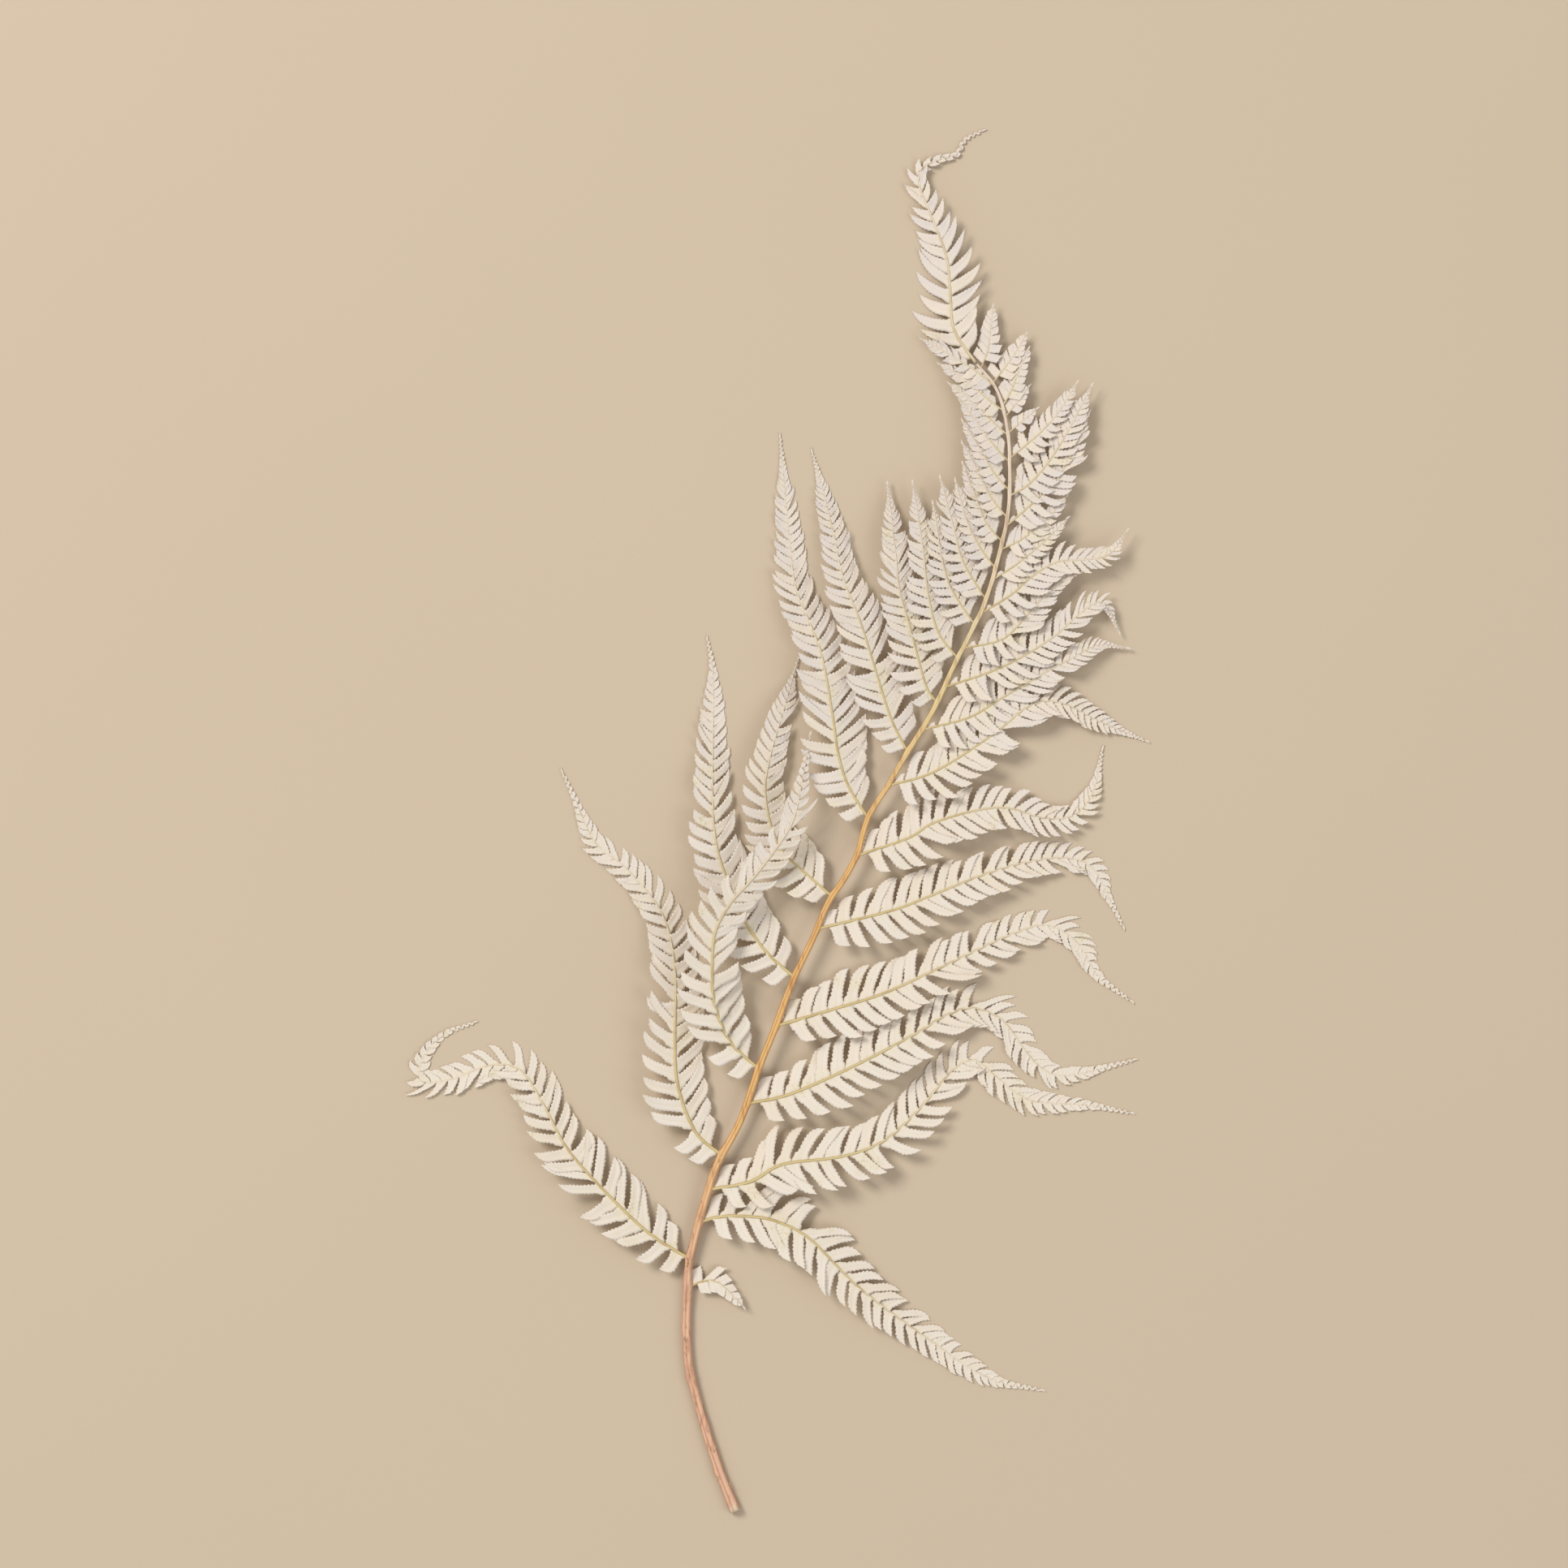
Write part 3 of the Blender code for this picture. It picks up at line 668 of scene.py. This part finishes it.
class Shop:
    """One material's node tree and the ways to add to it."""

    def __init__(self, name, colours):
        """Start a material with its Principled shader and the colours that its nodes may name."""
        self.colours = colours
        self.material = bpy.data.materials.new(name)
        self.material.use_nodes = True
        self.tree = self.material.node_tree
        self.shader = self.tree.nodes["Principled BSDF"]

    def node(self, kind, settings, links, output=0):
        """Add a node of a type with its settings and socket values or links, and return an output."""
        node = self.tree.nodes.new(kind)
        for name, value in settings.items():
            if name == "stops":
                self.set_stops(node.color_ramp, value)
            else:
                setattr(node, name, value)
        for name, value in links.items():
            self.feed(node.inputs[name], value)
        return Value(self, node.outputs[output])

    def colour(self, name):
        """The colour of that name, with full opacity."""
        return (*getattr(self.colours, name), 1.0)

    def set_stops(self, ramp, stops):
        """Give a colour ramp its stops, each a position and the name of a colour."""
        while len(ramp.elements) < len(stops):
            ramp.elements.new(1)
        for element, (position, name) in zip(ramp.elements, stops):
            element.position = position
            element.color = self.colour(name)

    def feed(self, socket, value):
        """Link a value to a socket, or set the socket to a plain value or a named colour."""
        if isinstance(value, Value):
            self.tree.links.new(value.socket, socket)
        else:
            socket.default_value = self.colour(value) if isinstance(value, str) else value

    def point_value(self, name):
        """A value that the mesh holds at its points."""
        return self.node("ShaderNodeAttribute", {"attribute_name": name}, {}, output="Fac")

    def noise(self, scale, detail=3.0, stretch=(1.0, 1.0, 1.0)):
        """Noise in the object's own metres, from 0 to 1, stretched along an axis where asked."""
        place = self.node("ShaderNodeTexCoord", {}, {}, output="Object")
        place = self.node("ShaderNodeMapping", {}, {"Vector": place, "Scale": stretch})
        return self.node("ShaderNodeTexNoise", {}, {"Vector": place, "Scale": scale, "Detail": detail})

    def height_up_the_frond(self):
        """The frond's own +Y coordinate, in metres."""
        place = self.node("ShaderNodeTexCoord", {}, {}, output="Object")
        return self.node("ShaderNodeSeparateXYZ", {}, {"Vector": place}, output="Y")

    def blend(self, share, first, second):
        """A colour between two, by a share."""
        settings = {"data_type": "RGBA", "clamp_factor": True}
        return self.node("ShaderNodeMix", settings, {0: share, 6: first, 7: second}, output=2)

    def stain(self, share, base, stain):
        """A colour multiplied by a stain, by a share."""
        settings = {"data_type": "RGBA", "blend_type": "MULTIPLY", "clamp_factor": True}
        return self.node("ShaderNodeMix", settings, {0: share, 6: base, 7: stain}, output=2)

    def finish(self, colour, roughness, relief=None, depth=0.0):
        """Set the shader's colour, roughness and, from a relief of 0 to 1, bumps of a depth in metres."""
        self.feed(self.shader.inputs["Base Color"], colour)
        self.feed(self.shader.inputs["Roughness"], roughness)
        if relief is not None:
            bump = self.node("ShaderNodeBump", {}, {"Strength": 1.0, "Distance": depth, "Height": relief})
            self.feed(self.shader.inputs["Normal"], bump)
        return self.material


def leaf_material(colours):
    """Bleached leaf: off-white with cream near the rib, fine veins, faint tan stains and dry edges, whose
    brown is partly painted shade along each leaflet's outline.
    """
    shop = Shop("bleached_leaf", colours)
    along = shop.point_value("along")
    across = abs(shop.point_value("across"))
    cloud = shop.noise(95.0)
    grain = shop.noise(900.0, 4.0)
    cool = shop.blend(shop.height_up_the_frond().ramp(-0.12, 0.18), "leaf", "leaf_cool")
    base = shop.blend((shop.point_value("chance") - 0.35) * 1.2, cool, "leaf_warm")
    base = shop.blend(cloud.ramp(0.52, 0.72) * 0.55, base, "leaf_cream")
    base = shop.blend(along.ramp(0.30, 0.0) * 0.4, base, "leaf_cream")
    midvein = across.ramp(0.16, 0.02) * along.ramp(1.0, 0.7)
    base = shop.blend(midvein * 0.35, base, "leaf_vein")
    veins = (shop.point_value("reach") * 6.6 - across * 3.4).wave().ramp(0.35, 1.0) * across.ramp(0.05, 0.25)
    base = shop.stain(veins * 0.08, base, "leaf_vein")
    # Brown in patches at the outermost columns of each leaflet: partly a dried margin, partly painted shade
    # along the leaflet's outline.
    dried_and_shaded_edge = across.ramp(0.86, 1.0) * (cloud + grain).ramp(0.9, 1.25)
    base = shop.stain(dried_and_shaded_edge * 0.5, base, "dry_edge")
    base = shop.stain((grain * cloud).ramp(0.36, 0.46) * 0.35, base, "dry_edge")
    return shop.finish(base, 0.62 + grain * 0.25, veins * 0.3 + grain * 0.5 + cloud, 0.00007)


def rib_material(colours):
    """Ribs of the side branches: straw yellow and browner at their roots, with painted shade darkening their
    sides and undersides.
    """
    shop = Shop("straw_rib", colours)
    grain = shop.noise(1500.0, 4.0)
    pale = shop.point_value("along").ramp(0.2, 0.85) + shop.height_up_the_frond().ramp(0.02, 0.22) * 0.5
    base = shop.blend(pale, "rib", "leaf_warm")
    # Painted shade: the sides and underside of each rib are stained darker than its top.
    base = shop.stain(shop.point_value("around").ramp(0.93, 0.6) * 0.85, base, "dry_edge")
    base = shop.stain(shop.noise(120.0).ramp(0.5, 0.7) * 0.35, base, "dry_edge")
    return shop.finish(base, 0.5 + grain * 0.2, grain, 0.00008)


def stalk_material(colours):
    """The stalk: pinkish tan below, tan orange in the middle and straw above, with long pale streaks, dark
    stains and painted shade darkening its sides and underside.
    """
    shop = Shop("dry_stalk", colours)
    streak = shop.point_value("streak")
    grain = shop.noise(700.0, 5.0, (1.0, 0.14, 1.0))
    base = shop.node("ShaderNodeValToRGB", {"stops": STALK_TONES}, {"Fac": shop.point_value("up")})
    base = shop.blend(streak.ramp(0.55, 0.9) * 0.55, base, "stalk_streak")
    base = shop.stain(streak.ramp(0.42, 0.1) * 0.5, base, "stalk_dark")
    base = shop.stain(grain.ramp(0.5, 0.68) * 0.5, base, "stalk_dark")
    base = shop.stain(shop.noise(60.0).ramp(0.5, 0.75) * 0.3, base, "stalk_dark")
    # Painted shade: the sides and underside of the stalk are stained darker than its top.
    base = shop.stain(shop.point_value("around").ramp(0.88, 0.5) * 0.55, base, "stalk_dark")
    return shop.finish(base, 0.42 + grain * 0.25, grain * 0.7 + streak * 0.3, 0.00018)


def scale_material(colours):
    """Dry brown scales left on the lower stalk."""
    shop = Shop("dry_scale", colours)
    grain = shop.noise(1200.0, 3.0)
    base = shop.blend(grain.ramp(0.35, 0.65), "scale", "stalk_streak")
    return shop.finish(base, 0.7, grain, 0.00008)


def floor_material(colours):
    """A plain, pale, matt floor with the faintest cloudiness."""
    shop = Shop("pale_floor", colours)
    clouds = shop.noise(3.0, 2.0).ramp(0.35, 0.7) * 0.05
    base = shop.stain(clouds, "floor", (0.85, 0.82, 0.78, 1.0))
    return shop.finish(base, 0.9)


def dress(piece):
    """Let a piece ride with the frond and stand for its solid, which is hidden."""
    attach(piece, BODY)
    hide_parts(FROND_NODE)


def size_property(label, description, default):
    """A length that a user may change."""
    return bpy.props.FloatProperty(
        name=label, description=description, default=default,
        min=0.0, precision=5, subtype="DISTANCE", unit="LENGTH",
    )


def colour_property(label, description, default):
    """A colour that a user may change."""
    return bpy.props.FloatVectorProperty(
        name=label, description=description, default=default, size=3, min=0.0, max=1.0, subtype="COLOR"
    )


def strength_property(label, description, default):
    """The strength of a light, which a user may change."""
    return bpy.props.FloatProperty(name=label, description=description, default=default, min=0.0)


class FrondSizes(bpy.types.PropertyGroup):
    """The fine sizes of the frond."""

    leaf_thickness: size_property("Leaf thickness", "Thickness of a leaflet", 0.26 * MM)
    leaflet_pitch: size_property("Leaflet pitch", "From leaflet to leaflet on long low branches", 6.8 * MM)
    tip_pitch: size_property("Tip pitch", "From leaflet to leaflet on the frond's tip", 6.8 * MM)
    tooth_pitch: size_property("Tooth pitch", "Distance between the teeth of a leaflet's edge", 1.5 * MM)
    tooth_depth: size_property("Tooth depth", "How far a tooth stands out", 0.5 * MM)
    vein_depth: size_property("Vein depth", "How deep the midvein is sunk", 0.09 * MM)
    rib_root_radius: size_property("Rib root radius", "Radius of a long branch's rib at its root", 0.66 * MM)
    rib_tip_radius: size_property("Rib tip radius", "Radius of a rib at its tip", 0.16 * MM)
    groove_depth: size_property("Groove depth", "Depth of the grooves along the stalk", 0.14 * MM)
    scale_count: bpy.props.IntProperty(
        name="Scales", description="How many dry scales and hairs cling to the stalk",
        default=90, min=0, max=400,
    )


class FrondColours(bpy.types.PropertyGroup):
    """The colours of the frond and the floor."""

    leaf: colour_property("Leaf", "Bleached leaf", (0.83, 0.75, 0.66))
    leaf_cool: colour_property("Cool leaf", "Leaf towards the frond's tip", (0.755, 0.68, 0.635))
    leaf_warm: colour_property("Warm leaf", "Leaflets that stayed warmer", (0.825, 0.72, 0.60))
    leaf_cream: colour_property("Cream leaf", "Leaf near the ribs", (0.79, 0.72, 0.53))
    leaf_vein: colour_property("Vein", "Midvein and side veins", (0.70, 0.62, 0.40))
    # Brown of dried edges and stains, also used as painted shade at leaflet outlines and along the sides and
    # undersides of the ribs.
    dry_edge: colour_property("Dry edge", "Stain of dried edges", (0.62, 0.45, 0.28))
    rib: colour_property("Rib", "Rib of a branch", (0.68, 0.55, 0.27))
    stalk_cut: colour_property("Stalk cut", "Cut end of the stalk", (0.80, 0.66, 0.50))
    stalk_low: colour_property("Stalk low", "Lower stalk", (0.76, 0.45, 0.31))
    stalk_middle: colour_property("Stalk middle", "Middle of the stalk", (0.78, 0.45, 0.15))
    stalk_high: colour_property("Stalk high", "Upper stalk", (0.78, 0.63, 0.32))
    stalk_streak: colour_property("Stalk streak", "Pale streaks along the stalk", (0.86, 0.64, 0.36))
    # Dark stain of the stalk, also used as painted shade along its sides and underside.
    stalk_dark: colour_property("Stalk dark", "Dark stain along the stalk", (0.52, 0.33, 0.23))
    scale: colour_property("Scale", "Scales of the lower stalk", (0.50, 0.30, 0.18))
    floor: colour_property("Floor", "Plain floor", (0.62, 0.51, 0.38))


class StageSettings(bpy.types.PropertyGroup):
    """The light and the camera."""

    lens: bpy.props.FloatProperty(
        name="Lens", description="Focal length", default=85.0, min=1.0, unit="CAMERA"
    )
    key_power: strength_property("Key light", "Power of the key light", 78.0)
    fill_power: strength_property("Fill light", "Power of the fill light", 24.0)
    sky: strength_property("Sky", "Strength of the even light", 0.46)


class FROND_OT_stalk(bpy.types.Operator):
    """Make the stalk, with its grooves, knobs and cut end"""

    bl_idname = "frond.stalk"
    bl_label = "Stalk"

    def execute(self, context):
        """Build the stalk and dress it."""
        route = Route(placed(STALK_ROUTE))
        surface = Surface("up", "around", "streak")
        distances = np.arange(0, route.length, STALK_RING_STEP)
        ups = [route.point(distance).y for distance in distances]
        heights = np.array([stalk_centre_height(up) for up in ups])
        along = distances[:, None]
        radii = self.radii(route, along, ups, context.scene.frond_sizes.groove_depth)
        up = along / route.length
        ring_tube(surface, route, distances, heights, radii, up=up, streak=self.streaks(along))
        dress(surface.make("stalk", stalk_material(context.scene.frond_colours)))
        return {"FINISHED"}

    @staticmethod
    def streaks(along):
        """Long streaks that wander slowly round the stalk, from 0 to 1."""
        angles = ring_angles(STALK_SIDES)
        wander = 0.4 * np.sin(along * 31 + 1.3) + 0.12 * np.sin(along * 83)
        wave = np.sin(5 * angles + wander) + 0.6 * np.sin(9 * angles - 2 * wander + 0.3 * np.sin(along * 140))
        return (wave + 1.6) / 3.2

    @staticmethod
    def radii(route, along, ups, groove_depth):
        """The stalk's radius for each ring and side, with grooves, knobs at the roots and a flared end."""
        angles = ring_angles(STALK_SIDES)
        base = np.array([read_off(STALK_RADII, up) for up in ups])[:, None]
        groove = np.exp(-((angles - np.pi) / 0.30) ** 2)
        side_groove = np.exp(-((np.abs(angles - np.pi) - 1.25) / 0.16) ** 2)
        ridged = 0.35 * np.sin(11 * angles + 0.6 * np.sin(along * 60))
        depth = groove_depth * np.minimum(1, base / (1.4 * MM))
        radii = base - depth * (1.7 * groove + 0.9 * side_groove + 0.4 * ridged)
        radii = radii * (1 + 0.022 * np.sin(along * 210 + 2) + 0.018 * np.sin(along * 97))
        radii = radii * (1 + 0.12 * np.exp(-along / (3.5 * MM)))
        knobs = list(STALK_SCARS)
        for side, rows in ((-1, LEFT_BRANCHES), (1, RIGHT_BRANCHES)):
            knobs += [(row[0], side, KNOB_SWELLING) for row in rows]
        for height_mm, side, swelling in knobs:
            place = route.place_at_height(CUT_END.y + height_mm * MM)
            facing = np.exp(-((angles - (np.pi - side * 1.5)) / 0.7) ** 2)
            near = np.exp(-((along - place - 0.6 * MM) / (1.9 * MM)) ** 2)
            radii = radii + swelling * base * near * facing
        return radii


class FROND_OT_scales(bpy.types.Operator):
    """Make the dry scales that cling to the lower stalk"""

    bl_idname = "frond.scales"
    bl_label = "Stalk scales"

    def execute(self, context):
        """Scatter small pointed scales by a seeded draw."""
        chance = random.Random(SCALES_SEED)
        route = Route(placed(STALK_ROUTE))
        surface = Surface()
        for _ in range(context.scene.frond_sizes.scale_count):
            self.add_scale(surface, route, chance)
        dress(surface.make("stalk_scales", scale_material(context.scene.frond_colours)))
        return {"FINISHED"}

    @staticmethod
    def add_scale(surface, route, chance):
        """One scale or hair: a narrow pointed flake, rooted in the stalk, that bends as it rises."""
        distance = chance.uniform(4, 150) * MM
        centre = route.point(distance)
        heading = route.heading(distance)
        across = Vector((heading.y, -heading.x))
        turn = chance.uniform(-1.45, 1.45)
        out = Vector((across.x * math.sin(turn), across.y * math.sin(turn), math.cos(turn)))
        middle = Vector((centre.x, centre.y, stalk_centre_height(centre.y)))
        root = middle + out * (read_off(STALK_RADII, centre.y) * 0.93)
        forward = Vector((heading.x, heading.y, 0)) * chance.choice((-1, 1, 1))
        side = out.cross(forward)
        length = chance.uniform(1.2, 3.6) * MM
        width = chance.choice((0.05, 0.07, 0.09, 0.2, 0.34)) * MM
        lean = chance.uniform(0.1, 0.5)
        drift = chance.uniform(-0.4, 0.4)
        points = []
        under = out * (0.04 * MM)
        for share in (0, 0.35, 0.7, 1):
            bend = lean * length * share ** 1.6
            spot = root + forward * (length * share) + out * bend + side * (drift * length * share * share)
            half = side * (width * (1 - share * share) + 0.01 * MM)
            points.extend((spot - half - under, spot + half - under, spot + out * (0.05 * MM)))
        faces = [(2, 1, 0), (9, 10, 11)]
        for low in (0, 3, 6):
            faces += [(low + a, low + b, low + b + 3, low + a + 3) for a, b in ((0, 1), (1, 2), (2, 0))]
        surface.add(np.array([tuple(point) for point in points]), faces)


class FROND_OT_ribs(bpy.types.Operator):
    """Make the ribs of the side branches and of the frond's tip"""

    bl_idname = "frond.ribs"
    bl_label = "Ribs"

    def execute(self, context):
        """Build every rib as a tapering tube."""
        sizes = context.scene.frond_sizes
        stalk_route = Route(placed(STALK_ROUTE))
        surface = Surface("along", "around")
        for branch in branches_of(stalk_route, -1) + branches_of(stalk_route, 1) + [leafy_tip()]:
            self.add_rib(surface, branch, sizes)
        dress(surface.make("branch_ribs", rib_material(context.scene.frond_colours)))
        return {"FINISHED"}

    @staticmethod
    def add_rib(surface, branch, sizes):
        """One rib, thickest where it leaves the stalk, half sunk in the blade."""
        rings = max(4, round(branch.route.length / RIB_RING_STEP))
        shares = np.linspace(0, 1, rings)
        distances = shares * branch.route.length
        stout = sizes.rib_root_radius * (0.25 + 0.75 * branch.width / WIDEST_LEAFLETS) * branch.spacing
        radii = sizes.rib_tip_radius + (stout - sizes.rib_tip_radius) * (1 - shares) ** 0.8
        radii = radii * (1 + 0.35 * np.exp(-distances / (2.2 * MM)))
        heights = np.array([branch.rib_height(distance) for distance in distances]) + 0.12 * MM
        heights = np.maximum(heights, radii)
        ring_radii = np.repeat(radii[:, None], RIB_SIDES, axis=1)
        ring_tube(surface, branch.route, distances, heights, ring_radii, along=shares[:, None])


class FROND_OT_leaflets(bpy.types.Operator):
    """Make the leaflets of all side branches, a piece for each group of neighbours"""

    bl_idname = "frond.leaflets"
    bl_label = "Leaflets"

    def execute(self, context):
        """Build each group of leaflets with its own seeded draw."""
        sizes = context.scene.frond_sizes
        material = leaf_material(context.scene.frond_colours)
        stalk_route = Route(placed(STALK_ROUTE))
        for number, (name, group) in enumerate(LEAFLET_GROUPS.items()):
            branches = branches_of(stalk_route, *group)
            self.make_group(name, branches, LEAFLETS_SEED + number, sizes, sizes.leaflet_pitch, material)
        self.make_group("leaflets_tip", [leafy_tip()], TIP_SEED, sizes, sizes.tip_pitch, material)
        return {"FINISHED"}

    @staticmethod
    def make_group(name, branches, seed, sizes, pitch, material):
        """Make one piece of the leaflets of some branches."""
        chance = random.Random(seed)
        surface = Surface("along", "across", "reach", "chance")
        for branch in branches:
            add_leaflets(surface, branch, chance, sizes, pitch)
        dress(surface.make(name, material))


class FROND_OT_stage(bpy.types.Operator):
    """Make the floor, the lights and the camera that looks straight down"""

    bl_idname = "frond.stage"
    bl_label = "Stage"

    def execute(self, context):
        """Build the stage: the floor, the lights, the sky and the camera."""
        stage = context.scene.frond_stage
        self.floor(context.scene.frond_colours)
        self.area_light("key_light", stage.key_power, *KEY_LIGHT)
        self.area_light("fill_light", stage.fill_power, *FILL_LIGHT)
        self.sky(context, stage.sky)
        self.camera(context, stage.lens)
        context.scene.view_settings.view_transform = "Standard"
        return {"FINISHED"}

    @staticmethod
    def floor(colours):
        """A wide plain floor."""
        half = FLOOR_HALF_WIDTH
        surface = Surface()
        corners = [(-half, -half, 0), (half, -half, 0), (half, half, 0), (-half, half, 0)]
        surface.add(np.array(corners), [(0, 1, 2, 3)])
        floor = surface.make("floor", floor_material(colours))

    @staticmethod
    def area_light(name, power, place, size, tint):
        """A soft square light that faces the middle of the frond."""
        lamp = bpy.data.lights.new(name, "AREA")
        lamp.size = size
        lamp.energy = power
        lamp.color = tint
        light = new_object(name, lamp)
        light.location = place
        light.rotation_euler = (-Vector(place)).to_track_quat("-Z", "Y").to_euler()

    @staticmethod
    def sky(context, strength):
        """Even white light from all round."""
        world = bpy.data.worlds.new("studio")
        world.use_nodes = True
        background = world.node_tree.nodes["Background"]
        background.inputs["Color"].default_value = SKY_TINT
        background.inputs["Strength"].default_value = strength
        context.scene.world = world

    @staticmethod
    def camera(context, lens):
        """A camera over the middle of the picture, looking straight down."""
        eye = bpy.data.cameras.new("camera")
        eye.lens = lens
        eye.sensor_width = SENSOR_WIDTH
        camera = new_object("camera", eye)
        camera.location = (*PICTURE_MIDDLE, PICTURE_WIDTH * lens / SENSOR_WIDTH)
        context.scene.camera = camera


class FROND_PT_panel(bpy.types.Panel):
    """The frond's steps in the sidebar"""

    bl_label = "Dried fern frond"
    bl_idname = "FROND_PT_panel"
    bl_space_type = "VIEW_3D"
    bl_region_type = "UI"
    bl_category = "Frond"

    def draw(self, context):
        """List the operators."""
        for operator in OPERATORS:
            self.layout.operator(operator.bl_idname)


OPERATORS = (FROND_OT_stalk, FROND_OT_scales, FROND_OT_ribs, FROND_OT_leaflets, FROND_OT_stage)
GROUPS = {"frond_sizes": FrondSizes, "frond_colours": FrondColours, "frond_stage": StageSettings}


def register():
    """Register the groups of settings, the operators and the panel."""
    for name, group in GROUPS.items():
        bpy.utils.register_class(group)
        setattr(bpy.types.Scene, name, bpy.props.PointerProperty(type=group))
    for operator in OPERATORS:
        bpy.utils.register_class(operator)
    bpy.utils.register_class(FROND_PT_panel)


def unregister():
    """Remove what register added."""
    bpy.utils.unregister_class(FROND_PT_panel)
    for operator in reversed(OPERATORS):
        bpy.utils.unregister_class(operator)
    for name, group in reversed(GROUPS.items()):
        delattr(bpy.types.Scene, name)
        bpy.utils.unregister_class(group)


def main():
    """Make every piece and the stage."""
    register()
    bpy.ops.frond.stalk()
    bpy.ops.frond.scales()
    bpy.ops.frond.ribs()
    bpy.ops.frond.leaflets()
    bpy.ops.frond.stage()


if __name__ == "__main__":
    main()
